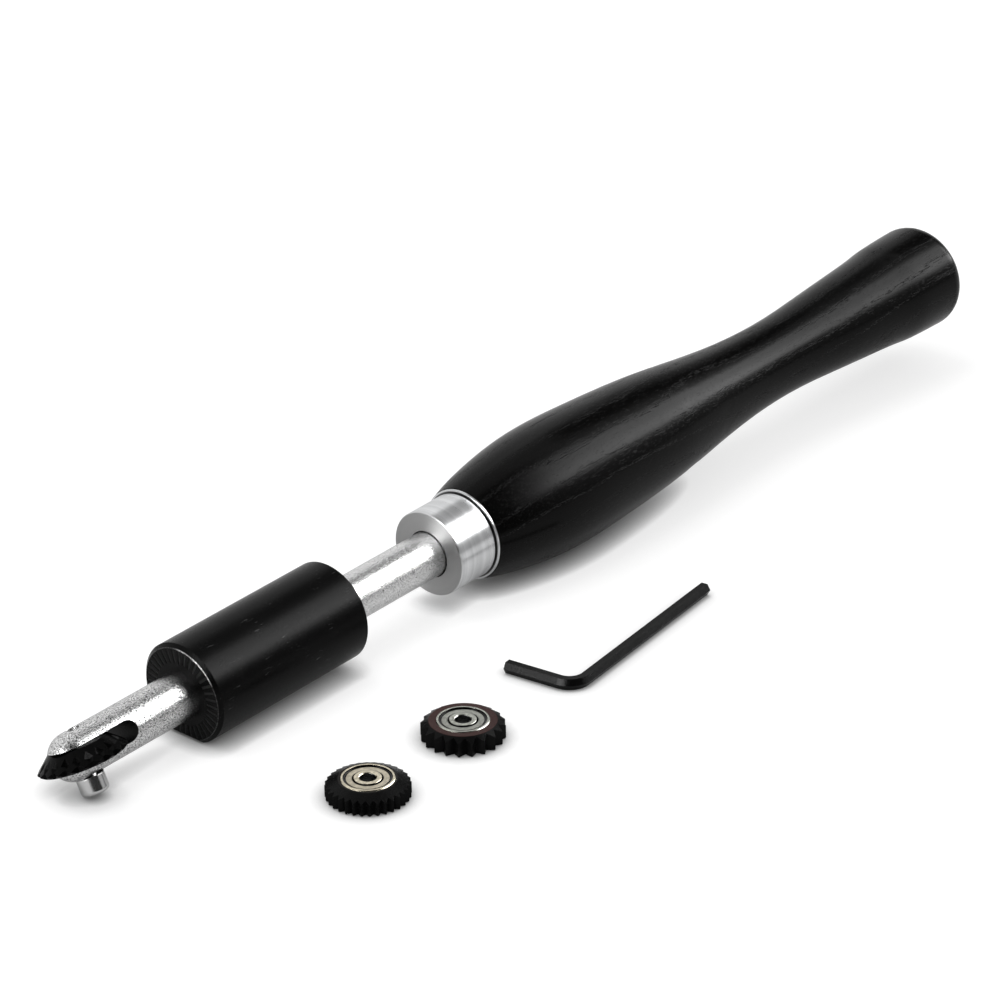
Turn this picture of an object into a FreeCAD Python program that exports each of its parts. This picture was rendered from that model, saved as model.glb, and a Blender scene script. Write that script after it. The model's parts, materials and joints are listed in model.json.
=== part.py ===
import FreeCAD, Part
import math
import os

# Woodturning texturing tool: a turned wooden handle with a metal ferrule, a steel shank that
# carries a toothed cutter wheel on a ball bearing, a sliding tool-rest sleeve, two loose cutter
# wheels and the hexagon key that fits both screws.
#
# Millimetres. The tool is built along its own axis: X runs from the sleeve's front face towards
# the butt, Y is sideways, Z is up. It is then tipped so that it lies on its sleeve's flat and on
# the handle's swell. The finished part stands on Z = 0 under the centre of its box.

# Shank and its slotted head
shank_radius = 6.0
head_end = -41.6             # station of the round front end
slot_clearance = 0.1         # on each side of the bearing
slot_end = -19.7             # rear of the slot's round end
axle_station = -33.2
head_roll = 24.0             # degrees: the slot's open side looks this far above the horizontal
tang_length = 60.0           # length of shank inside the handle

# Axle screw, a socket head cap screw with a 4 mm thread
axle_clearance = 0.05        # radial, between the screw and the bearing's bore
screw_seat_depth = 0.15      # the head's seat lies this far below the shank's surface
screw_length = 11.0
screw_head_radius = 3.5
screw_head_height = 4.4
screw_rim = 0.9              # rounding of the head's rim
screw_taper = 0.65           # taper at the stem's end, as long as it is deep
screw_hole_clearance = 0.2   # radial, in the cheek under the head
thread_clearance = 0.03      # radial, between a screw and its tapped hole
seat_margin = 0.2            # the spot face is this much wider than the head
key_flats = 3.0              # across flats, for both sockets and the key
socket_clearance = 0.05
socket_depth = 2.0
socket_drill = 0.8           # depth of the drill's cone below the socket

# Tool-rest sleeve
sleeve_radius = 13.0
sleeve_length = 51.5
sleeve_clearance = 0.05
front_chamfer = 1.0
rear_chamfer = 0.6
flat_depth = 1.0             # the flat along the sleeve's underside
mark_count = 36              # graduation lines on the front face
mark_inner = 8.2
mark_outer = 11.7
mark_width = 0.7
mark_depth = 0.2

# Clamp screw of the sleeve
clamp_station = 40.0
clamp_radius = 3.0
clamp_sunk = 0.95            # the screw's socket end lies this far below the sleeve's surface
clamp_tip_gap = 0.05
clamp_point_radius = 1.6
clamp_point_height = 1.0
clamp_edge = 0.5             # chamfer round the socket's end

# Ferrule
ferrule_gap = 35.7           # bare shank between the sleeve and the ferrule
ferrule_length = 13.6
ferrule_radius = 11.35
ferrule_clearance = 0.3      # radial, between the ferrule's front wall and the shank
ferrule_wall = 4.0           # thickness of its front wall
ferrule_edge = 0.3
bead_radius = 12.2           # thin bead at the ferrule's rear, with a groove in front of it
bead_width = 0.65
groove_width = 0.5
groove_depth = 0.45

# Handle: swells and waists as distance behind the ferrule and radius
handle_length = 196.2
tenon_radius = 9.2
handle_front_radius = 12.35
swell_rise = (11.0, 15.0)
swell = (29.0, 17.15)
swell_fall = (50.0, 16.75)
taper = (75.0, 14.95)
neck = (101.0, 11.8)
waist = (127.5, 10.6)
grip_rise = (151.0, 12.0)
grip = (172.0, 13.55)
butt_radius = 14.6
front_slope = 0.33           # rise per length where the handle starts
butt_slope = 0.02            # the same where the butt starts to round off
butt_rounding = 5.0

# Ball bearing of each wheel: 4 mm bore, 13 mm outside, 5 mm wide
bearing_bore = 2.0
bearing_radius = 6.5
bearing_width = 5.0
inner_ring_radius = 3.35
outer_ring_land = 5.15
pitch_radius = 4.28
ball_radius = 1.0
ball_count = 7
ball_clearance = 0.03
ring_chamfer = 0.2
inner_ring_edge = 0.1        # chamfer on the outside of the inner ring
recess_radius = 5.85
recess_depth = 0.8
shield_inner = 3.7
shield_thickness = 0.18
shield_rise = 0.35           # the shield's middle stands this much above its edge
shield_rise_radius = 5.1
shield_play = 0.03           # radial, between the shield and the outer ring
wire_width = 0.36
wire_height = 0.3
wire_play = 0.06             # radial, between the wire and the outer ring
wire_gap = 42.0              # degrees between the wire's ends
wire_turn = 42.0             # degrees from X to the middle of that gap
cage_inner = 4.08
cage_outer = 4.48
cage_half_width = 1.32

# Cutter wheels
cutter_width = 4.6
cutter_edge = 0.15
fine_teeth = 32
fine_tip = 10.15
fine_root = 9.0
fine_top = 7.0               # radius where the cone meets the upper face
fine_drop = 1.6              # height of the cone
medium_teeth = 20
medium_tip = 10.25
medium_root = 8.6
medium_top = 8.2
medium_drop = 1.3
diamond_teeth = 20
diamond_tip = 11.2
diamond_root = 10.4
diamond_far = 7.1            # radius where the long cone meets the face away from the screw head
diamond_near = 10.4          # the same for the short cone and the other face
diamond_ridge = 1.55         # the ridge lies this far off the wheel's middle, to the screw head
diamond_land = 0.3           # height of the rim left between the two cones
notch_place = 0.6            # share of the long cone's slope where a notch has its middle
notch_half_length = 2.0
notch_half_width = 1.2
notch_depth = 0.7

# Where the loose pieces lie, from the point under the sleeve's front face
fine_place = (8.2, -52.3)
medium_place = (43.1, -50.7)
key_corner = (77.3, -56.6)
key_angle = 8.0
key_long_arm = 62.6
key_short_arm = 21.2
key_bend = 4.5               # radius of the bend's centre line

overcut = 1.0                # how far a cutting shape reaches past what it cuts
tiny = 1e-6

ferrule_front = sleeve_length + ferrule_gap
handle_front = ferrule_front + ferrule_length
handle_end = handle_front + handle_length
flat_distance = sleeve_radius - flat_depth
ferrule_bore = shank_radius + ferrule_clearance
slot_width = bearing_width + 2 * slot_clearance
half_slot = slot_width / 2
screw_radius = bearing_bore - axle_clearance
screw_hole_radius = screw_radius + screw_hole_clearance
screw_seat = shank_radius - screw_seat_depth
half_bearing = bearing_width / 2
half_cutter = cutter_width / 2

X = FreeCAD.Vector(1, 0, 0)
Y = FreeCAD.Vector(0, 1, 0)
Z = FreeCAD.Vector(0, 0, 1)
ORIGIN = FreeCAD.Vector(0, 0, 0)


def vec(x, y, z=0.0):
    return FreeCAD.Vector(x, y, z)


def cylinder_x(radius, start, end):
    return Part.makeCylinder(radius, end - start, vec(start, 0, 0), X)


def cylinder_z(radius, low, high, x=0.0, y=0.0):
    return Part.makeCylinder(radius, high - low, vec(x, y, low), Z)


def turned_x(points):
    """Solid turned about X from a closed outline of (station, radius) points."""
    corners = [vec(s, r) for s, r in points]
    face = Part.Face(Part.makePolygon(corners + corners[:1]))
    return face.revolve(ORIGIN, X, 360)


def turned_z(points):
    """Solid turned about Z from a closed outline of (radius, height) points."""
    corners = [vec(r, 0, h) for r, h in points]
    face = Part.Face(Part.makePolygon(corners + corners[:1]))
    return face.revolve(ORIGIN, Z, 360)


def hexagon(flats, low, high):
    """Hexagonal prism along Z, with a flat on each side in Y."""
    corner = flats / math.sqrt(3)
    points = [vec(corner * math.cos(math.radians(60 * k)), corner * math.sin(math.radians(60 * k)), low)
              for k in range(7)]
    return Part.Face(Part.makePolygon(points)).extrude(vec(0, 0, high - low))


def socket(top):
    """Hexagon socket with a drilled bottom, open at the height top."""
    flats = key_flats + 2 * socket_clearance
    bottom = top - socket_depth
    drill = Part.makeCone(0, flats / 2, socket_drill, vec(0, 0, bottom - socket_drill), Z)
    return hexagon(flats, bottom, top + overcut).fuse(drill)


# Handle, ferrule and shank

def handle_curve():
    """The handle's outline from the ferrule to where the butt starts to round off."""
    butt_start = (handle_length - butt_rounding, butt_radius)
    knots = [(0, handle_front_radius), swell_rise, swell, swell_fall, taper, neck, waist,
             grip_rise, grip, butt_start]
    curve = Part.BSplineCurve()
    curve.interpolate(Points=[vec(handle_front + s, r) for s, r in knots],
                      InitialTangent=vec(1, front_slope), FinalTangent=vec(1, butt_slope))
    return curve


def make_handle():
    side = handle_curve().toShape()
    turn = math.sqrt(0.5)
    start = vec(handle_end - butt_rounding, butt_radius)
    middle = start + vec(butt_rounding * turn, butt_rounding * (turn - 1))
    end = vec(handle_end, butt_radius - butt_rounding)
    rounding = Part.Arc(start, middle, end).toShape()
    tenon_start = ferrule_front + ferrule_wall
    tang_end = handle_front + tang_length
    rest = [end, vec(handle_end, 0), vec(tang_end, 0), vec(tang_end, shank_radius),
            vec(tenon_start, shank_radius), vec(tenon_start, tenon_radius),
            vec(handle_front, tenon_radius), vec(handle_front, handle_front_radius)]
    edges = [side, rounding]
    edges += [Part.makeLine(rest[k], rest[k + 1]) for k in range(len(rest) - 1)]
    return Part.Face(Part.Wire(Part.__sortEdges__(edges))).revolve(ORIGIN, X, 360)


def make_ferrule():
    bead_start = handle_front - bead_width
    groove_start = bead_start - groove_width
    outline = [(ferrule_front, ferrule_bore), (ferrule_front, ferrule_radius - ferrule_edge),
               (ferrule_front + ferrule_edge, ferrule_radius), (groove_start, ferrule_radius),
               (groove_start, ferrule_radius - groove_depth),
               (bead_start, ferrule_radius - groove_depth), (bead_start, bead_radius),
               (handle_front, bead_radius), (handle_front, tenon_radius),
               (ferrule_front + ferrule_wall, tenon_radius),
               (ferrule_front + ferrule_wall, ferrule_bore)]
    return turned_x(outline)


def make_shank():
    """Shank with its slotted round nose, the slot opening along Y and the axle hole along Z."""
    nose_centre = head_end + shank_radius
    nose = Part.makeSphere(shank_radius, vec(nose_centre, 0, 0))
    shank = cylinder_x(shank_radius, nose_centre, handle_front + tang_length)
    shank = shank.fuse(nose).removeSplitter()
    reach = shank_radius + overcut
    slot_centre = slot_end - half_slot
    slot = Part.makeBox(slot_centre - head_end + overcut, 2 * reach, slot_width,
                        vec(head_end - overcut, -reach, -half_slot))
    round_end = Part.makeCylinder(half_slot, 2 * reach, vec(slot_centre, -reach, 0), Y)
    shank = shank.cut(slot).cut(round_end)
    seat = cylinder_z(screw_head_radius + seat_margin, screw_seat, reach, axle_station)
    plain_hole = cylinder_z(screw_hole_radius, 0, reach, axle_station)
    tapped_hole = cylinder_z(screw_radius + thread_clearance, -reach, 0, axle_station)
    return shank.cut(seat).cut(plain_hole).cut(tapped_hole)


def make_axle_screw():
    top = screw_seat + screw_head_height
    head = cylinder_z(screw_head_radius, screw_seat, top)
    rims = [edge for edge in head.Edges if abs(edge.BoundBox.ZMin - top) < tiny]
    head = head.makeFillet(screw_rim, rims)
    end = screw_seat - screw_length
    stem = turned_z([(0, end), (screw_radius - screw_taper, end), (screw_radius, end + screw_taper),
                     (screw_radius, screw_seat), (0, screw_seat)])
    screw = head.fuse(stem).removeSplitter().cut(socket(top))
    return screw.translated(vec(axle_station, 0, 0))


# Tool-rest sleeve and its clamp screw, which stands on the sleeve's far side, along +Y

def below_flat():
    """What is cut off under the sleeve: down from its flat and from the chamfers at both ends."""
    low = -sleeve_radius - overcut
    rear = sleeve_length - rear_chamfer
    corners = [(-overcut, low), (-overcut, front_chamfer + overcut - flat_distance),
               (front_chamfer, -flat_distance), (rear, -flat_distance),
               (sleeve_length + overcut, rear_chamfer + overcut - flat_distance),
               (sleeve_length + overcut, low)]
    points = [vec(x, -sleeve_radius, z) for x, z in corners]
    return Part.Face(Part.makePolygon(points + points[:1])).extrude(vec(0, 2 * sleeve_radius, 0))


def make_sleeve():
    bore = shank_radius + sleeve_clearance
    outline = [(0, bore), (0, sleeve_radius - front_chamfer), (front_chamfer, sleeve_radius),
               (sleeve_length - rear_chamfer, sleeve_radius),
               (sleeve_length, sleeve_radius - rear_chamfer), (sleeve_length, bore)]
    sleeve = turned_x(outline).cut(below_flat())
    hole = Part.makeCylinder(clamp_radius, sleeve_radius + overcut, vec(clamp_station, 0, 0), Y)
    mark = Part.makeBox(mark_depth + overcut, mark_width, mark_outer - mark_inner,
                        vec(-overcut, -mark_width / 2, mark_inner))
    marks = [mark.rotated(ORIGIN, X, 360 * k / mark_count) for k in range(mark_count)]
    return sleeve.cut(hole).cut(Part.makeCompound(marks))


def make_clamp_screw():
    """Set screw with a short point, its socket outwards."""
    radius = clamp_radius - thread_clearance
    tip = shank_radius + clamp_tip_gap
    top = sleeve_radius - clamp_sunk
    edge = clamp_edge
    body = turned_z([(0, tip), (clamp_point_radius, tip), (radius, tip + clamp_point_height),
                     (radius, top - edge), (radius - edge, top), (0, top)])
    screw = body.cut(socket(top))
    return screw.rotated(ORIGIN, X, -90).translated(vec(clamp_station, 0, 0))


# One wheel with its bearing, about Z and centred on the origin

def race():
    return Part.makeTorus(pitch_radius, ball_radius + ball_clearance, ORIGIN, Z)


def make_inner_ring():
    c = ring_chamfer
    e = inner_ring_edge
    half = half_bearing
    outline = [(bearing_bore + c, -half), (inner_ring_radius - e, -half),
               (inner_ring_radius, -half + e), (inner_ring_radius, half - e),
               (inner_ring_radius - e, half), (bearing_bore + c, half),
               (bearing_bore, half - c), (bearing_bore, -half + c)]
    return turned_z(outline).cut(race())


def make_outer_ring():
    c = ring_chamfer
    half = half_bearing
    step = half - recess_depth
    outline = [(recess_radius, -half), (bearing_radius - c, -half), (bearing_radius, -half + c),
               (bearing_radius, half - c), (bearing_radius - c, half), (recess_radius, half),
               (recess_radius, step), (outer_ring_land, step), (outer_ring_land, -step),
               (recess_radius, -step)]
    return turned_z(outline).cut(race())


def on_both_faces(shape):
    """The shape and its mirror image below, as one group of two solids."""
    return Part.makeCompound([shape, shape.mirror(ORIGIN, Z)])


def make_shields():
    """Pressed shields: a rim on the outer ring's step and a raised middle."""
    rim = half_bearing - recess_depth
    middle = rim + shield_rise
    rim_radius = recess_radius - shield_play
    outline = [(shield_inner, middle), (shield_rise_radius - shield_thickness, middle),
               (shield_rise_radius - shield_thickness, rim + shield_thickness),
               (outer_ring_land + shield_play, rim), (rim_radius, rim),
               (rim_radius, rim + shield_thickness),
               (shield_rise_radius, rim + shield_thickness),
               (shield_rise_radius, middle + shield_thickness), (shield_inner, middle + shield_thickness)]
    return on_both_faces(turned_z(outline))


def make_snap_wires():
    low = half_bearing - recess_depth + shield_thickness
    outer = recess_radius - wire_play
    inner = outer - wire_width
    corners = [vec(inner, 0, low), vec(outer, 0, low), vec(outer, 0, low + wire_height),
               vec(inner, 0, low + wire_height)]
    face = Part.Face(Part.makePolygon(corners + corners[:1]))
    wire = face.revolve(ORIGIN, Z, 360 - wire_gap).rotated(ORIGIN, Z, wire_turn + wire_gap / 2)
    return on_both_faces(wire)


def ball_places():
    return [vec(pitch_radius * math.cos(2 * math.pi * k / ball_count),
                pitch_radius * math.sin(2 * math.pi * k / ball_count)) for k in range(ball_count)]


def make_balls():
    return Part.makeCompound([Part.makeSphere(ball_radius, place) for place in ball_places()])


def make_cage():
    outline = [(cage_inner, -cage_half_width), (cage_outer, -cage_half_width),
               (cage_outer, cage_half_width), (cage_inner, cage_half_width)]
    pockets = [Part.makeCylinder(ball_radius + ball_clearance, bearing_radius, ORIGIN, place)
               for place in ball_places()]
    ring = turned_z(outline).rotated(ORIGIN, Z, 180 / ball_count)
    return ring.cut(Part.makeCompound(pockets))


def toothed_blank(outline, teeth, tip, root):
    """A turned ring whose rim is cut into straight pointed teeth."""
    points = []
    for k in range(2 * teeth + 1):
        radius = tip if k % 2 == 0 else root
        angle = math.pi * k / teeth
        points.append(vec(radius * math.cos(angle), radius * math.sin(angle), -half_cutter - overcut))
    star = Part.Face(Part.makePolygon(points)).extrude(vec(0, 0, cutter_width + 2 * overcut))
    return turned_z(outline).common(star)


def make_coned_cutter(teeth, tip, root, top, drop):
    """Cutter with a cone on its upper face only and teeth that reach its lower face."""
    outline = [(bearing_radius, -half_cutter), (tip - cutter_edge, -half_cutter),
               (tip + cutter_edge, -half_cutter + 2 * cutter_edge), (tip + cutter_edge, half_cutter - drop),
               (top, half_cutter), (bearing_radius, half_cutter)]
    return toothed_blank(outline, teeth, tip, root)


def make_notch(rise, height):
    """Double pyramid that cuts a diamond-shaped notch into a cone of this rise and height."""
    slope = math.hypot(rise, height)
    middle = vec(diamond_far + notch_place * rise, 0, notch_place * height - half_cutter)
    along = vec(rise, 0, height) * (notch_half_length / slope)
    out = vec(height, 0, -rise) * (notch_depth / slope)
    across = Y * notch_half_width
    corners = [middle + along, middle + across, middle - along, middle - across]
    faces = []
    for point in (middle + out, middle - out):
        for k in range(4):
            edge = [corners[k - 1], corners[k], point]
            faces.append(Part.Face(Part.makePolygon(edge + edge[:1])))
    return Part.makeSolid(Part.makeShell(faces))


def make_diamond_cutter():
    """Cutter with a long and a short cone, its long one notched between the teeth."""
    land = diamond_land / 2
    ridge_start = diamond_ridge - land
    outline = [(bearing_radius, -half_cutter), (diamond_far, -half_cutter),
               (diamond_tip, ridge_start), (diamond_tip, diamond_ridge + land),
               (diamond_near, half_cutter), (bearing_radius, half_cutter)]
    cutter = toothed_blank(outline, diamond_teeth, diamond_tip + cutter_edge, diamond_root)
    notch = make_notch(diamond_tip - diamond_far, ridge_start + half_cutter)
    notches = [notch.rotated(ORIGIN, Z, 360 * (k + 0.5) / diamond_teeth) for k in range(diamond_teeth)]
    return cutter.cut(Part.makeCompound(notches))


def make_key():
    """Hexagon key that lies on a flat, its corner at the origin and its long arm along X."""
    half = key_flats / 2
    bend = key_bend
    section = hexagon(key_flats, 0, 1)
    profile = section.Faces[0]
    for face in section.Faces:
        if abs(face.CenterOfMass.z) < tiny:
            profile = face
    profile = profile.rotated(ORIGIN, Y, 90).rotated(ORIGIN, X, 90)
    long_arm = profile.translated(vec(bend, 0, 0)).extrude(vec(key_long_arm - half - bend, 0, 0))
    corner = profile.translated(vec(bend, 0, 0)).revolve(vec(bend, bend, 0), Z, -90)
    end = profile.rotated(ORIGIN, Z, 90).translated(vec(0, bend, 0))
    short_arm = end.extrude(vec(0, key_short_arm - half - bend, 0))
    key = long_arm.fuse([corner, short_arm]).removeSplitter()
    return key.translated(vec(0, 0, half))


# Placing

def rest_slope():
    """Angle at which the tool lies: the line from the flat's front edge that touches the swell."""
    curve = handle_curve()
    length = curve.LastParameter - curve.FirstParameter
    steps = 1000
    steepest = 0.0
    for k in range(steps + 1):
        point = curve.value(curve.FirstParameter + length * k / steps)
        steepest = max(steepest, (point.y - flat_distance) / (point.x - front_chamfer))
    return math.degrees(math.atan(steepest))


def lay_down(shape):
    """From the tool's own axis to the bench: X = 0 stays under the sleeve's front face."""
    slope = rest_slope()
    angle = math.radians(slope)
    height = flat_distance * math.cos(angle) - front_chamfer * math.sin(angle)
    return shape.rotated(ORIGIN, Y, -slope).translated(vec(0, 0, height))


def in_slot(shape):
    """From the wheel's own axis to the axle, before the tool is laid down."""
    return roll_head(shape.translated(vec(axle_station, 0, 0)))


def roll_head(shape):
    """Turns the head so that its slot looks to the near side and the screw head hangs down."""
    return shape.rotated(ORIGIN, X, 180 - head_roll)


def on_bench(shape, place):
    return shape.translated(vec(place[0], place[1], half_bearing))


def wheel_nodes(prefix, cutter, place):
    pieces = {"cutter": cutter, "outer_ring": make_outer_ring(), "inner_ring": make_inner_ring(),
              "balls": make_balls(), "cage": make_cage(), "shields": make_shields(),
              "snap_wires": make_snap_wires()}
    return {prefix + "_" + name: place(shape) for name, shape in pieces.items()}


def build():
    nodes = {
        "handle": lay_down(make_handle()),
        "ferrule": lay_down(make_ferrule()),
        "shank": lay_down(roll_head(make_shank())),
        "axle_screw": lay_down(roll_head(make_axle_screw())),
        "rest_sleeve": lay_down(make_sleeve()),
        "clamp_screw": lay_down(make_clamp_screw()),
    }
    fine = make_coned_cutter(fine_teeth, fine_tip, fine_root, fine_top, fine_drop)
    medium = make_coned_cutter(medium_teeth, medium_tip, medium_root, medium_top, medium_drop)
    nodes.update(wheel_nodes("mounted", make_diamond_cutter(), lambda s: lay_down(in_slot(s))))
    nodes.update(wheel_nodes("fine", fine, lambda s: on_bench(s, fine_place)))
    nodes.update(wheel_nodes("medium", medium, lambda s: on_bench(s, medium_place)))
    nodes["hex_key"] = make_key().rotated(ORIGIN, Z, key_angle).translated(vec(*key_corner))
    return nodes


def centre_of_box(nodes):
    """Middle of the whole part's box in X and Y, from its surface points."""
    points = [p for shape in nodes.values() for p in shape.tessellate(0.02)[0]]
    xs = [p.x for p in points]
    ys = [p.y for p in points]
    return vec((min(xs) + max(xs)) / 2, (min(ys) + max(ys)) / 2)


nodes = build()
centre = centre_of_box(nodes)
os.makedirs("parts", exist_ok=True)
print("slope %.4f degrees, centre %.4f %.4f" % (rest_slope(), centre.x, centre.y))
for name, shape in nodes.items():
    placed = shape.translated(-centre)
    placed.exportStep("parts/" + name + ".step")
    box = placed.BoundBox
    print("%-20s solids %d volume %9.2f valid %s box %8.2f %8.2f %8.2f  %8.2f %8.2f %8.2f" % (
        name, len(placed.Solids), placed.Volume, placed.isValid(),
        box.XMin, box.YMin, box.ZMin, box.XMax, box.YMax, box.ZMax))
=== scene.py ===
import json
import math

import bpy
from mathutils import Matrix, Vector

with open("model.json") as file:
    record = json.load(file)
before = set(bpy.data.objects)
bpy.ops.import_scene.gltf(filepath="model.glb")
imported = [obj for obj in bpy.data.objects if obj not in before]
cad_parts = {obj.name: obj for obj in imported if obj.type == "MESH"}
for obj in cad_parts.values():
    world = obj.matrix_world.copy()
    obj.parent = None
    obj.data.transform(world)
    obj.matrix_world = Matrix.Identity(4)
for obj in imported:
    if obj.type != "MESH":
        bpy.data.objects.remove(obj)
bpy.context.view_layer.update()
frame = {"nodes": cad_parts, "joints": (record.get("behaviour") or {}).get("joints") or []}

MM = 0.001

# Camera: place in the row frame, heading, tilt and roll in degrees, lens for a 36 mm sensor
CAMERA_PLACE = (-0.73012, -0.61771, 0.48870)
CAMERA_AZIMUTH = 48.28
CAMERA_TILT = 25.96
CAMERA_ROLL = 0.92
CAMERA_LENS = 151.38

# The tool's own axis, from the frame's joints
JOINTS = {joint["name"]: joint for joint in frame["joints"]}
TOOL_AXIS = Vector(JOINTS["rest_sleeve_slide"]["axis"])
AXLE = Vector(JOINTS["mounted_wheel_spin"]["pos_m"])
AXLE_AXIS = Vector(JOINTS["mounted_wheel_spin"]["axis"])
TOOL_SLOPE = math.asin(TOOL_AXIS.z)

# Along the tool's axis from the axle, and across it, in millimetres
SLEEVE_FRONT = 33.2
MARK_REACH = (8.1, 11.8)     # the lines on the sleeve's face, as radii
MARK_DEPTH = (0.10, 0.25)    # how far behind the face their cut surfaces lie
MARK_STEP = 10.0             # degrees between the lines
WEAR_AND_HIGHLIGHT_RADIUS = 12.0             # radius of the face-chamfer edge: rubbed bare, part of it a painted highlight
EDGE_HIGHLIGHT_TURN = (9.5, 14.0)      # where that edge carries a painted highlight, in steps between the lines
FERRULE_FRONT = 120.4
GROOVE = (132.85, 133.35)    # in front of the bead at the ferrule's rear; painted in shade
GROOVE_REACH = 11.75
BEAD_SHADE_FROM = 133.75                # behind it the bead is painted in the handle's shade
SLOT_CENTRE = 10.9
HALF_SLOT = 2.6
SLOT_ACROSS = AXLE_AXIS.y
SLOT_UP = -math.sqrt(1 - AXLE_AXIS.y ** 2)

# Wheels: heights over the middle, and radii
TOP_FACE = 2.3               # a loose cutter's upper face
BEARING_FACE = 2.5           # what lies under it between the rings is painted in shade
BORE = 2.0
RING_GAP = (3.3, 3.75)       # gaps in a bearing's face, painted in shade
RIM_GAP = (5.12, 5.86)
WHEEL_CENTRES = {"fine": Vector(JOINTS["fine_inner_spin"]["pos_m"]),
                 "medium": Vector(JOINTS["medium_inner_spin"]["pos_m"]),
                 "mounted": AXLE}
# Each bearing's grey, and the shares of it that red and blue add; the mounted bearing's
# # grey is set low as painted shade from the slot it sits in
BEARING_LOOKS = {"fine": (0.66, (0.10, -0.22)), "medium": (0.46, (-0.02, -0.10)),
                 "mounted": (0.10, (0.0, 0.0))}

FLOOR_SIZE = 8.0
FLOOR_COLOUR = (0.54, 0.54, 0.54, 1)
FLOOR_GLOW = 0.62            # what the background adds to the floor, seen directly
MIRRORED_GLOW = 0.40         # the share of it that reflections show
SHADOW_REACH = 0.006         # the glow fades this near to what stands on the floor
SHADOW_POWER = 2.0

# The room as metal and gloss show it. Turns are degrees about the tool's length, from the far
# side (0) over the top (90) to the near side (180).
ROOM_LIGHT = 0.70            # for diffuse surfaces
GAP_LEVEL = 0.03
WALL_LEVEL = 0.85
WALL_RISE = (-4, 0)
WALL_FALL = (49, 62)
WALL_SHADE = 0.7             # how much of the wall's upper part the handle misses
SHADE_RISE = (26, 46)
HEAD_WALL_LEVEL = 0.8        # a second wall in the gap, as a share of the first: the head's
HEAD_WALL_RISE = (44, 56)
HEAD_WALL_FALL = (82, 94)
FRINGE_LEVEL = 0.7
FRINGE_RISE = (78, 92)
BOX_LEVEL = 9.0
BOX_EDGE = (97, 111)         # the near box comes up in two steps
BOX_EDGE_SHARE = 0.6
BOX_RISE = (118, 138)
BOX_FALL = (142, 155)
NEAR_LOSS = 0.20
NEAR_RISE = (145, 165)
REAR_PART = (0.30, 0.50)     # the near side is lit towards the handle's end only
HEAD_PART = (0.575, 0.595)   # the room up to here is what the head mirrors in the photo's view
HANDLE_PART = (0.675, 0.70)  # and from here what the handle mirrors
HORIZON = (0.02, 0.10)
HORIZON_LEVEL = 0.3          # share of the light that is left below it
FRONT_BOX = Vector((-0.93, 0.05, 0.36)).normalized()
FRONT_BOX_LEVEL = 10.0
FRONT_BOX_EDGE = (0.93, 0.97)


class Graph:
    """A material's node tree, with short calls to add nodes and link them."""

    def __init__(self, name):
        self.material = bpy.data.materials.new(name)
        self.material.use_nodes = True
        self.tree = self.material.node_tree
        self.shader = self.tree.nodes["Principled BSDF"]

    def put(self, socket, value):
        if isinstance(value, bpy.types.NodeSocket):
            self.tree.links.new(value, socket)
        else:
            socket.default_value = value

    def add(self, kind, inputs, **settings):
        made = self.tree.nodes.new("ShaderNode" + kind)
        for name, value in settings.items():
            setattr(made, name, value)
        for name, value in inputs.items():
            self.put(made.inputs[name], value)
        return made

    def math(self, operation, a, b=0.0):
        return self.add("Math", {0: a, 1: b}, operation=operation).outputs[0]

    def steps(self, value, low, high, out_low=0.0, out_high=1.0):
        """Smooth step of value from low to high."""
        inputs = {"Value": value, "From Min": low, "From Max": high, "To Min": out_low, "To Max": out_high}
        return self.add("MapRange", inputs, interpolation_type="SMOOTHSTEP").outputs["Result"]

    def noise(self, vector, scale, detail=3.0, roughness=0.5):
        inputs = {"Vector": vector, "Scale": scale, "Detail": detail, "Roughness": roughness}
        return self.add("TexNoise", inputs).outputs["Fac"]

    def place(self, origin, rotation=(0, 0, 0)):
        """Coordinates in millimetres from origin, turned into the piece's own axes."""
        coords = self.add("TexCoord", {}).outputs["Object"]
        return self.add("Mapping", {"Vector": coords, "Location": origin, "Rotation": rotation,
                                    "Scale": (MM, MM, MM)}, vector_type="TEXTURE").outputs["Vector"]

    def split(self, vector):
        made = self.add("SeparateXYZ", {"Vector": vector})
        return made.outputs["X"], made.outputs["Y"], made.outputs["Z"]

    def join(self, x, y, z):
        return self.add("CombineXYZ", {"X": x, "Y": y, "Z": z}).outputs["Vector"]

    def stretch(self, vector, scale):
        return self.add("VectorMath", {0: vector, 1: scale}, operation="MULTIPLY").outputs["Vector"]

    def length(self, a, b):
        return self.math("SQRT", self.math("ADD", self.math("MULTIPLY", a, a), self.math("MULTIPLY", b, b)))

    def mix(self, factor, a, b):
        made = self.add("Mix", {"Factor": factor, 6: a, 7: b}, data_type="RGBA")
        return made.outputs[2]

    def bump(self, height, distance, strength=1.0, normal=None):
        inputs = {"Height": height, "Distance": distance, "Strength": strength}
        if normal is not None:
            inputs["Normal"] = normal
        return self.add("Bump", inputs).outputs["Normal"]

    def rounded(self, radius):
        """Normal that rounds off sharp edges by this radius."""
        return self.add("Bevel", {"Radius": radius}, samples=4).outputs["Normal"]

    def within(self, value, low, high, soft):
        """1 where value lies between low and high."""
        return self.math("MULTIPLY", self.steps(value, low - soft, low),
                         self.steps(value, high, high + soft, 1.0, 0.0))

    def finish(self, **inputs):
        names = {"colour": "Base Color", "metal": "Metallic", "roughness": "Roughness", "normal": "Normal",
                 "specular": "Specular IOR Level", "anisotropy": "Anisotropic", "tangent": "Tangent"}
        for name, value in inputs.items():
            self.put(self.shader.inputs[names[name]], value)
        return self.material


def grey(level, warm=0.0):
    return (level * (1 + warm), level, level * (1 - warm), 1)


def tool_place(graph):
    """Millimetres along and across the tool's axis, from the axle."""
    return graph.place(AXLE, (0, -TOOL_SLOPE, 0))


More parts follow.
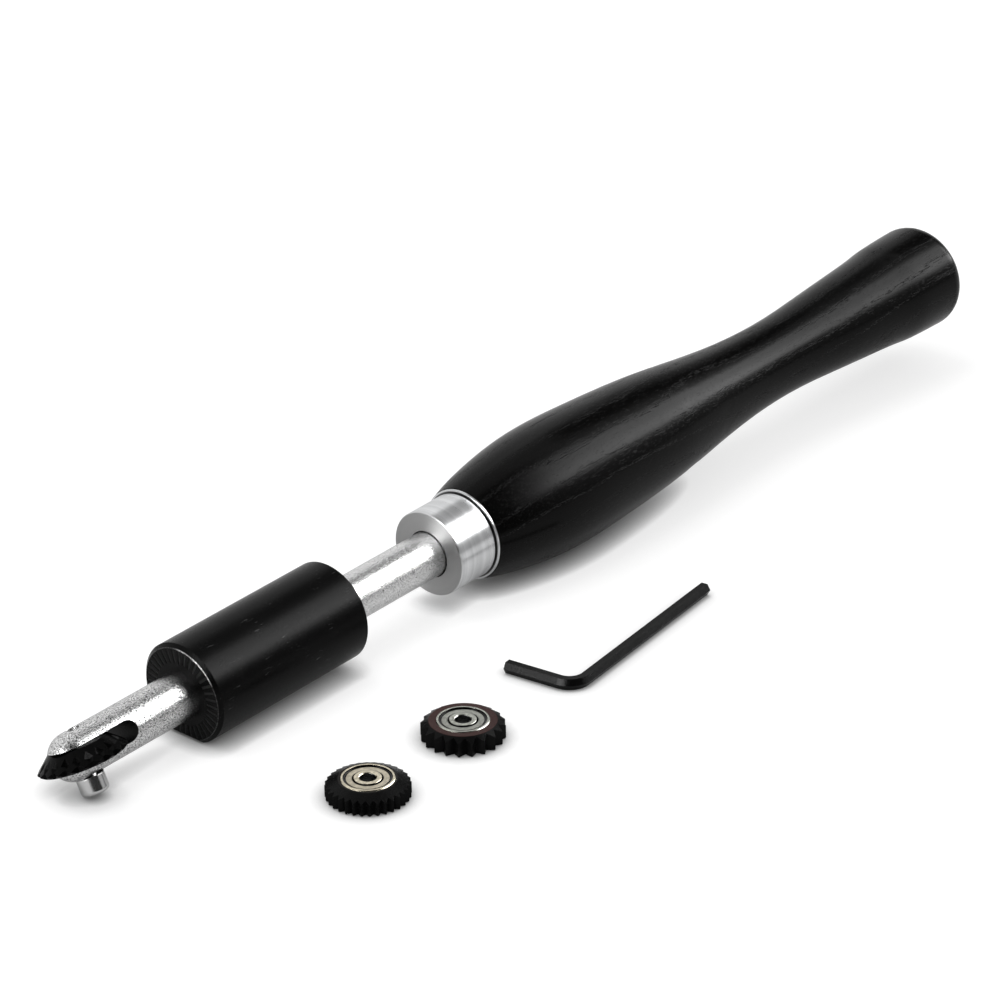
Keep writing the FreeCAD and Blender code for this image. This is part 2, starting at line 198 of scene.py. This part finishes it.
def stained_wood():
    """Ash turned along its grain, stained black, with open pores and a satin finish."""
    g = Graph("stained_wood")
    vector = tool_place(g)
    along, across, up = g.split(vector)
    pith_across, pith_up = 31.0, 22.0
    ring_width = 5.5
    wander = g.noise(g.stretch(vector, (0.012, 0.05, 0.05)), 1.0, 2.0)
    ripple = g.noise(g.stretch(vector, (0.05, 0.25, 0.25)), 1.0, 2.0)
    reach = g.length(g.math("ADD", across, pith_across), g.math("ADD", up, pith_up))
    reach = g.math("ADD", reach, g.math("MULTIPLY", wander, 14.0))
    reach = g.math("ADD", reach, g.math("MULTIPLY", ripple, 1.6))
    phase = g.math("FRACT", g.math("DIVIDE", reach, ring_width))
    early = g.math("MULTIPLY", g.steps(phase, 0.0, 0.06), g.steps(phase, 0.16, 0.28, 1.0, 0.0))
    pore_cells = g.noise(g.stretch(vector, (0.11, 5.0, 5.0)), 1.0, 2.0, 0.6)
    small_cells = g.noise(g.stretch(vector, (0.35, 6.5, 6.5)), 1.0, 1.0, 0.5)
    pores = g.math("MULTIPLY", g.steps(pore_cells, 0.54, 0.61), early)
    fine_pores = g.math("MULTIPLY", g.steps(small_cells, 0.62, 0.70), 0.3)
    pores = g.math("MAXIMUM", pores, fine_pores)
    fibres = g.noise(g.stretch(vector, (0.04, 2.6, 2.6)), 1.0, 3.0)
    height = g.math("SUBTRACT", g.math("MULTIPLY", fibres, 0.2), pores)
    colour = g.mix(pores, grey(0.0020, 0.03), grey(0.0006))
    roughness = g.math("ADD", 0.145, g.math("MULTIPLY", pores, 0.35))
    roughness = g.math("ADD", roughness, g.math("MULTIPLY", fibres, 0.10))
    return g.finish(colour=colour, roughness=roughness, normal=g.bump(height, 0.00003, 0.8),
                    specular=0.08)


def turned_aluminium():
    """Aluminium with the fine rings that a lathe leaves on its side and front face. Painted shade
    darkens its front face, the groove in front of the bead and the bead's rear.
    """
    g = Graph("turned_aluminium")
    vector = tool_place(g)
    along, across, up = g.split(vector)
    reach = g.length(across, up)
    fine_place = g.join(g.math("MULTIPLY", along, 3.2), g.math("MULTIPLY", reach, 3.2), 0.0)
    fine = g.noise(fine_place, 1.0, 4.0, 0.7)
    broad = g.noise(g.join(g.math("MULTIPLY", along, 0.5), g.math("MULTIPLY", reach, 1.3), 5.0), 1.0, 2.0)
    smear = g.noise(g.stretch(vector, (0.3, 0.1, 0.1)), 1.0, 3.0)
    roughness = g.math("ADD", 0.19, g.math("MULTIPLY", fine, 0.16))
    roughness = g.math("ADD", roughness, g.math("MULTIPLY", smear, 0.05))
    colour = g.mix(g.steps(broad, 0.35, 0.7), grey(0.68, -0.01), grey(0.84, -0.01))
    front = g.steps(along, FERRULE_FRONT + 0.05, FERRULE_FRONT + 0.2, 1.0, 0.0)
    # Painted shade: the front face is painted a darker grey than the side.
    colour = g.mix(front, colour, grey(0.40))
    roughness = g.math("ADD", roughness, g.math("MULTIPLY", front, 0.22))
    # Painted shade: the groove with the bead's front wall, and the bead's rear in the handle's shade, are
    # painted dark grey.
    groove = g.math("MULTIPLY", g.within(along, *GROOVE, 0.03),
                    g.steps(reach, GROOVE_REACH, GROOVE_REACH + 0.05, 1.0, 0.0))
    bead_shade = g.steps(along, BEAD_SHADE_FROM - 0.02, BEAD_SHADE_FROM + 0.02)
    colour = g.mix(g.math("MAXIMUM", groove, bead_shade), colour, grey(0.14))
    height = g.math("MULTIPLY", fine, g.math("ADD", 1.0, g.math("MULTIPLY", front, 3.0)))
    normal = g.bump(height, 0.00002, 0.6, g.rounded(0.00006))
    over_rings = g.join(reach, across, up)
    return g.finish(colour=colour, metal=1.0, roughness=roughness, normal=normal, anisotropy=0.8,
                    tangent=over_rings)


def plated_steel():
    """Plated round bar: bright, with a fine speckle and faint marks along it; the slot is darkened
    by painted shade.
    """
    g = Graph("plated_steel")
    vector = tool_place(g)
    along, across, up = g.split(vector)
    speckle = g.noise(vector, 3.0, 3.0, 0.75)
    lines = g.noise(g.stretch(vector, (0.06, 3.0, 3.0)), 1.0, 3.0, 0.6)
    stain = g.noise(g.stretch(vector, (0.05, 0.15, 0.15)), 1.0, 4.0, 0.6)
    colour = g.mix(g.steps(speckle, 0.36, 0.60), grey(0.50), grey(0.90))
    pit_cells = g.noise(vector, 2.7, 3.0, 0.75)
    pit_share = g.steps(along, SLEEVE_FRONT, SLEEVE_FRONT + 30.0, 0.075, 0.03)
    pits = g.steps(g.math("ADD", pit_cells, pit_share), 0.60, 0.66)
    colour = g.mix(pits, colour, grey(0.02))
    # Painted shade: the slot's walls are painted near black, and made rougher.
    from_middle = g.math("ABSOLUTE", g.math("ADD", g.math("MULTIPLY", across, SLOT_ACROSS),
                                            g.math("MULTIPLY", up, SLOT_UP)))
    past_centre = g.math("MAXIMUM", g.math("SUBTRACT", along, SLOT_CENTRE), 0.0)
    in_slot = g.steps(g.length(from_middle, past_centre), HALF_SLOT + 0.03, HALF_SLOT + 0.12, 1.0, 0.0)
    colour = g.mix(in_slot, colour, grey(0.02))
    roughness = g.math("ADD", 0.10, g.math("MULTIPLY", speckle, 0.14))
    roughness = g.math("ADD", roughness, g.math("MULTIPLY", stain, 0.06))
    roughness = g.math("ADD", roughness, g.math("MULTIPLY", in_slot, 0.3))
    height = g.math("ADD", g.math("MULTIPLY", speckle, 0.7), g.math("MULTIPLY", lines, 0.3))
    normal = g.bump(height, 0.00012, 0.8, g.rounded(0.00015))
    return g.finish(colour=colour, metal=1.0, roughness=roughness, normal=normal)


def mark_sleeve_face(g, vector, colour, normal, rub_lines, line_grey):
    """The sleeve's front face: painted darker as shade, radial lines, turned rings, and its outer edge
    rubbed bare, with a painted highlight on part of it. Returns colour, metal and normal."""
    along, across, up = g.split(vector)
    reach = g.length(across, up)
    front = g.steps(along, SLEEVE_FRONT + 0.05, SLEEVE_FRONT + 0.08, 1.0, 0.0)
    turn = g.math("DIVIDE", g.math("ARCTAN2", up, across), math.radians(MARK_STEP))
    from_line = g.math("ABSOLUTE", g.math("SUBTRACT", g.math("FRACT", g.math("ADD", turn, 0.5)), 0.5))
    behind = g.math("SUBTRACT", along, SLEEVE_FRONT)
    cut = g.math("MULTIPLY", g.within(behind, *MARK_DEPTH, 0.02), g.within(reach, *MARK_REACH, 0.05))
    cut = g.math("MULTIPLY", cut, g.steps(from_line, 0.18, 0.26, 1.0, 0.0))
    # Painted shade: the front face is painted darker than the rest of the sleeve.
    colour = g.mix(front, colour, grey(0.0012))
    colour = g.mix(cut, colour, grey(line_grey))
    # The edge is rubbed bare faintly all round; in one sector it is a painted highlight, bright grey and
    # metallic.
    edge = g.math("MULTIPLY", g.within(reach, WEAR_AND_HIGHLIGHT_RADIUS - 0.08, WEAR_AND_HIGHLIGHT_RADIUS + 0.12, 0.05),
                  g.steps(along, SLEEVE_FRONT + 0.2, SLEEVE_FRONT + 0.4, 1.0, 0.0))
    edge = g.math("MULTIPLY", edge, g.steps(rub_lines, 0.35, 0.6, 0.2, 1.0))
    bare = g.math("ADD", 0.12, g.math("MULTIPLY", g.within(turn, *EDGE_HIGHLIGHT_TURN, 1.5), 0.88))
    edge = g.math("MULTIPLY", edge, bare)
    colour = g.mix(edge, colour, grey(0.5))
    metal = g.math("MULTIPLY", edge, 0.9)
    rings = g.noise(g.join(g.math("MULTIPLY", reach, 9.0), 0.0, 0.0), 1.0, 2.0, 0.6)
    normal = g.bump(g.math("MULTIPLY", rings, front), 0.00006, 1.0, normal)
    return colour, metal, normal


def blackened(name, level, low, high, rubbed=0.0, shine=0.065, origin=AXLE, top=None, lines=None):
    """Steel with a black oxide skin. rubbed is how much bare metal shows in small rubs, shine the
    specular level, top the colour of a loose wheel's upper face and lines the grey of the lines
    on the sleeve's face."""
    g = Graph(name)
    vector = tool_place(g) if origin is AXLE else g.place(origin)
    grain = g.noise(vector, 3.1, 4.0, 0.65)
    cloud = g.noise(vector, 0.16, 3.0, 0.55)
    rub_lines = g.noise(g.stretch(vector, (0.35, 2.2, 2.2)), 1.0, 4.0, 0.7)
    rubs = g.math("MULTIPLY", g.steps(rub_lines, 0.60, 0.70), g.steps(cloud, 0.50, 0.64))
    rubs = g.math("MULTIPLY", rubs, rubbed)
    base = g.mix(g.steps(cloud, 0.3, 0.7), grey(level * 0.75), grey(level * 1.25))
    colour = g.mix(rubs, base, grey(0.16))
    roughness = g.math("ADD", low, g.math("MULTIPLY", grain, high - low))
    normal = g.bump(grain, 0.00005, 0.8, g.rounded(0.0001))
    metal = 0.0
    if top is not None:
        face = g.steps(g.split(vector)[2], TOP_FACE - 0.06, TOP_FACE - 0.02)
        colour = g.mix(face, colour, top)
    if lines is not None:
        colour, metal, normal = mark_sleeve_face(g, vector, colour, normal, rub_lines, lines)
    return g.finish(colour=colour, metal=metal, roughness=roughness, normal=normal, specular=shine)


def bearing_steel(name, origin, axis_turn, level, hue, low):
    """Ground or pressed bearing steel with rings about the wheel's axis, its ring gaps and bore
    darkened by painted shade. level and hue are a bearing's looks, and low its least roughness."""
    def tint(grey_level):
        return (grey_level * (1 + hue[0]), grey_level, grey_level * (1 + hue[1]), 1)

    g = Graph(name)
    vector = g.place(origin, axis_turn)
    x, y, z = g.split(vector)
    reach = g.length(x, y)
    rings = g.noise(g.join(g.math("MULTIPLY", reach, 5.0), g.math("MULTIPLY", z, 4.0), 0.0), 1.0, 3.0, 0.7)
    grime = g.noise(vector, 0.8, 4.0, 0.65)
    colour = g.mix(g.steps(grime, 0.35, 0.7), tint(level * 0.75), tint(level * 1.15))
    # Painted shade: the gaps between the rings, under the face, are painted near black.
    below_face = g.steps(g.math("ABSOLUTE", z), BEARING_FACE - 0.08, BEARING_FACE - 0.02, 1.0, 0.0)
    dark = g.math("MAXIMUM", g.within(reach, *RING_GAP, 0.03), g.within(reach, *RIM_GAP, 0.03))
    colour = g.mix(g.math("MULTIPLY", dark, below_face), colour, grey(0.05))
    # Painted shade: the bore is painted a darker grey.
    colour = g.mix(g.steps(reach, BORE + 0.01, BORE + 0.06, 1.0, 0.0), colour, grey(0.25))
    roughness = g.math("ADD", low, g.math("MULTIPLY", rings, 0.18))
    normal = g.bump(rings, 0.000012, 0.6, g.rounded(0.00005))
    return g.finish(colour=colour, metal=1.0, roughness=roughness, normal=normal)


def polished_steel():
    """The axle screw's bright steel, with light scratches."""
    g = Graph("polished_steel")
    vector = tool_place(g)
    scratches = g.noise(vector, 1.7, 4.0, 0.6)
    colour = g.mix(scratches, grey(0.52), grey(0.68))
    roughness = g.math("ADD", 0.11, g.math("MULTIPLY", scratches, 0.10))
    return g.finish(colour=colour, metal=1.0, roughness=roughness,
                    normal=g.bump(scratches, 0.00001, 0.4, g.rounded(0.0003)))


def wear(material, *names):
    """Gives these CAD nodes the material in all their slots."""
    for name in names:
        mesh = frame["nodes"][name].data
        if not mesh.materials:
            mesh.materials.append(material)
        for k in range(len(mesh.materials)):
            mesh.materials[k] = material


def dress_tool():
    wear(stained_wood(), "handle")
    wear(turned_aluminium(), "ferrule")
    wear(plated_steel(), "shank")
    wear(polished_steel(), "axle_screw")
    wear(blackened("sleeve_black", 0.002, 0.15, 0.27, rubbed=0.5, lines=0.03), "rest_sleeve")
    wear(blackened("screw_black", 0.003, 0.20, 0.34), "clamp_screw")
    wear(blackened("key_black", 0.004, 0.14, 0.26, rubbed=0.2, shine=0.12), "hex_key")


def dress_wheels():
    upright = Vector((0, 0, 1))
    axle_turn = tuple(upright.rotation_difference(AXLE_AXIS).to_euler())
    for name, centre in WHEEL_CENTRES.items():
        rotation = axle_turn if name == "mounted" else (0, 0, 0)
        level, hue = BEARING_LOOKS[name]
        ring = bearing_steel(name + "_ring_steel", centre, rotation, level, hue, 0.16)
        shield = bearing_steel(name + "_shield_steel", centre, rotation, level * 0.85, hue, 0.20)
        inside = bearing_steel(name + "_inside_steel", centre, rotation, level * 0.3, hue, 0.12)
        wear(ring, name + "_outer_ring", name + "_inner_ring")
        wear(shield, name + "_shields", name + "_snap_wires")
        wear(inside, name + "_balls", name + "_cage")
    wear(blackened("mounted_black", 0.0015, 0.16, 0.30, shine=0.04), "mounted_cutter")
    wear(blackened("fine_black", 0.004, 0.20, 0.34, origin=WHEEL_CENTRES["fine"],
                   top=(0.010, 0.009, 0.008, 1)), "fine_cutter")
    wear(blackened("medium_brown", 0.004, 0.22, 0.36, origin=WHEEL_CENTRES["medium"],
                   top=(0.045, 0.021, 0.019, 1)), "medium_cutter")


def make_floor():
    half = FLOOR_SIZE / 2
    mesh = bpy.data.meshes.new("floor")
    mesh.from_pydata([(-half, -half, 0), (half, -half, 0), (half, half, 0), (-half, half, 0)], [],
                     [(0, 1, 2, 3)])
    floor = bpy.data.objects.new("floor", mesh)
    bpy.context.collection.objects.link(floor)
    g = Graph("floor_white")
    path = g.add("LightPath", {}).outputs
    mirrored = g.math("MULTIPLY", path["Is Glossy Ray"], MIRRORED_GLOW)
    seen = g.math("MAXIMUM", path["Is Camera Ray"], mirrored)
    g.put(g.shader.inputs["Emission Color"], grey(1.0))
    near = g.add("AmbientOcclusion", {"Distance": SHADOW_REACH}, samples=8).outputs["AO"]
    seen = g.math("MULTIPLY", seen, g.math("POWER", near, SHADOW_POWER))
    g.put(g.shader.inputs["Emission Strength"], g.math("MULTIPLY", seen, FLOOR_GLOW))
    g.finish(colour=FLOOR_COLOUR, roughness=0.9, specular=0.0)
    mesh.materials.append(g.material)


def make_world():
    """White room with even diffuse light. In reflections it has a bright soft box over the near
    side, a dimmer wall on the far side with a dark gap between, and a small bright box in front
    of the tool's head. Where the head mirrors the room, a second wall fills most of the gap."""
    world = bpy.data.worlds.new("studio")
    bpy.context.scene.world = world
    world.use_nodes = True
    tree = world.node_tree
    tree.nodes.clear()
    output = tree.nodes.new("ShaderNodeOutputWorld")

    def add(kind, inputs, **settings):
        made = tree.nodes.new("ShaderNode" + kind)
        for name, value in settings.items():
            setattr(made, name, value)
        for name, value in inputs.items():
            if isinstance(value, bpy.types.NodeSocket):
                tree.links.new(value, made.inputs[name])
            else:
                made.inputs[name].default_value = value
        return made

    def step(value, low, high, out_low=0.0, out_high=1.0):
        inputs = {"Value": value, "From Min": low, "From Max": high, "To Min": out_low, "To Max": out_high}
        return add("MapRange", inputs, interpolation_type="SMOOTHSTEP").outputs["Result"]

    def value(operation, *inputs):
        return add("Math", dict(enumerate(inputs)), operation=operation).outputs[0]

    def turn_step(ends, out_low=0.0, out_high=1.0):
        return step(turn, math.radians(ends[0]), math.radians(ends[1]), out_low, out_high)

    direction = add("TexCoord", {}).outputs["Generated"]
    parts = add("SeparateXYZ", {0: direction}).outputs
    turn = value("ARCTAN2", parts["Z"], parts["Y"])
    wall = value("MULTIPLY", turn_step(WALL_RISE), turn_step(WALL_FALL, 1.0, 0.0))
    shade = value("MULTIPLY", step(parts["X"], *HANDLE_PART, 0.0, WALL_SHADE), turn_step(SHADE_RISE))
    wall = value("MULTIPLY", wall, value("SUBTRACT", 1.0, shade))
    head_wall = value("MULTIPLY", turn_step(HEAD_WALL_RISE), turn_step(HEAD_WALL_FALL, 1.0, 0.0))
    head_wall = value("MULTIPLY", head_wall, step(parts["X"], *HEAD_PART, HEAD_WALL_LEVEL, 0.0))
    wall = value("ADD", wall, head_wall)
    near_box = value("ADD", turn_step(BOX_EDGE, 0.0, BOX_EDGE_SHARE),
                     turn_step(BOX_RISE, 0.0, 1 - BOX_EDGE_SHARE))
    near_box = value("MULTIPLY", near_box, turn_step(BOX_FALL, 1.0, 0.0))
    fringe = value("SUBTRACT", turn_step(FRINGE_RISE, 0.0, FRINGE_LEVEL),
                   value("MULTIPLY", turn_step(NEAR_RISE), NEAR_LOSS))
    near_box = value("ADD", value("MULTIPLY", near_box, BOX_LEVEL), fringe)
    level = value("ADD", GAP_LEVEL, value("MULTIPLY", near_box, step(parts["X"], *REAR_PART)))
    to_box = add("VectorMath", {0: direction, 1: FRONT_BOX}, operation="DOT_PRODUCT").outputs["Value"]
    level = value("ADD", level, value("MULTIPLY", step(to_box, *FRONT_BOX_EDGE), FRONT_BOX_LEVEL))
    above = value("MULTIPLY", step(parts["Z"], *HORIZON), 1 - HORIZON_LEVEL)
    level = value("MULTIPLY", level, value("ADD", HORIZON_LEVEL, above))
    level = value("ADD", level, value("MULTIPLY", wall, WALL_LEVEL))
    path = add("LightPath", {}).outputs
    mirrored = add("Background", {"Color": grey(1.0), "Strength": level}).outputs[0]
    diffuse = add("Background", {"Color": grey(1.0), "Strength": ROOM_LIGHT}).outputs[0]
    white = add("Background", {"Color": grey(1.0), "Strength": 1.0}).outputs[0]
    unseen = add("MixShader", {0: path["Is Glossy Ray"], 1: diffuse, 2: mirrored}).outputs[0]
    seen = add("MixShader", {0: path["Is Camera Ray"], 1: unseen, 2: white})
    tree.links.new(seen.outputs[0], output.inputs["Surface"])


def make_light(name, place, target, width, height, power):
    data = bpy.data.lights.new(name, "AREA")
    data.shape = "RECTANGLE"
    data.size, data.size_y = width, height
    data.energy = power
    light = bpy.data.objects.new(name, data)
    light.location = place
    light.rotation_euler = (Vector(target) - Vector(place)).to_track_quat("-Z", "Y").to_euler()
    light.visible_glossy = False
    bpy.context.collection.objects.link(light)


def make_lights():
    make_light("key", (-0.2, 0.55, 1.7), (0, 0, 0), 1.0, 1.0, 8.0)
    make_light("fill", (0.9, -0.9, 1.1), (0, 0, 0), 0.9, 0.9, 2.0)


def make_camera():
    azimuth, tilt, roll = (math.radians(v) for v in (CAMERA_AZIMUTH, CAMERA_TILT, CAMERA_ROLL))
    ahead = Vector((math.sin(azimuth), math.cos(azimuth), 0)) * math.cos(tilt)
    ahead.z = -math.sin(tilt)
    level = Vector((math.cos(azimuth), -math.sin(azimuth), 0))
    under = ahead.cross(level)
    right = math.cos(roll) * level + math.sin(roll) * under
    up = math.sin(roll) * level - math.cos(roll) * under
    data = bpy.data.cameras.new("camera")
    data.sensor_width = 36
    data.lens = CAMERA_LENS
    data.clip_start, data.clip_end = 0.05, 20
    camera = bpy.data.objects.new("camera", data)
    turn = Matrix((right, up, -ahead)).transposed().to_4x4()
    camera.matrix_world = Matrix.Translation(CAMERA_PLACE) @ turn
    bpy.context.collection.objects.link(camera)
    bpy.context.scene.camera = camera


make_camera()
make_world()
make_lights()
make_floor()
dress_tool()
dress_wheels()
bpy.context.scene.view_settings.view_transform = "Standard"
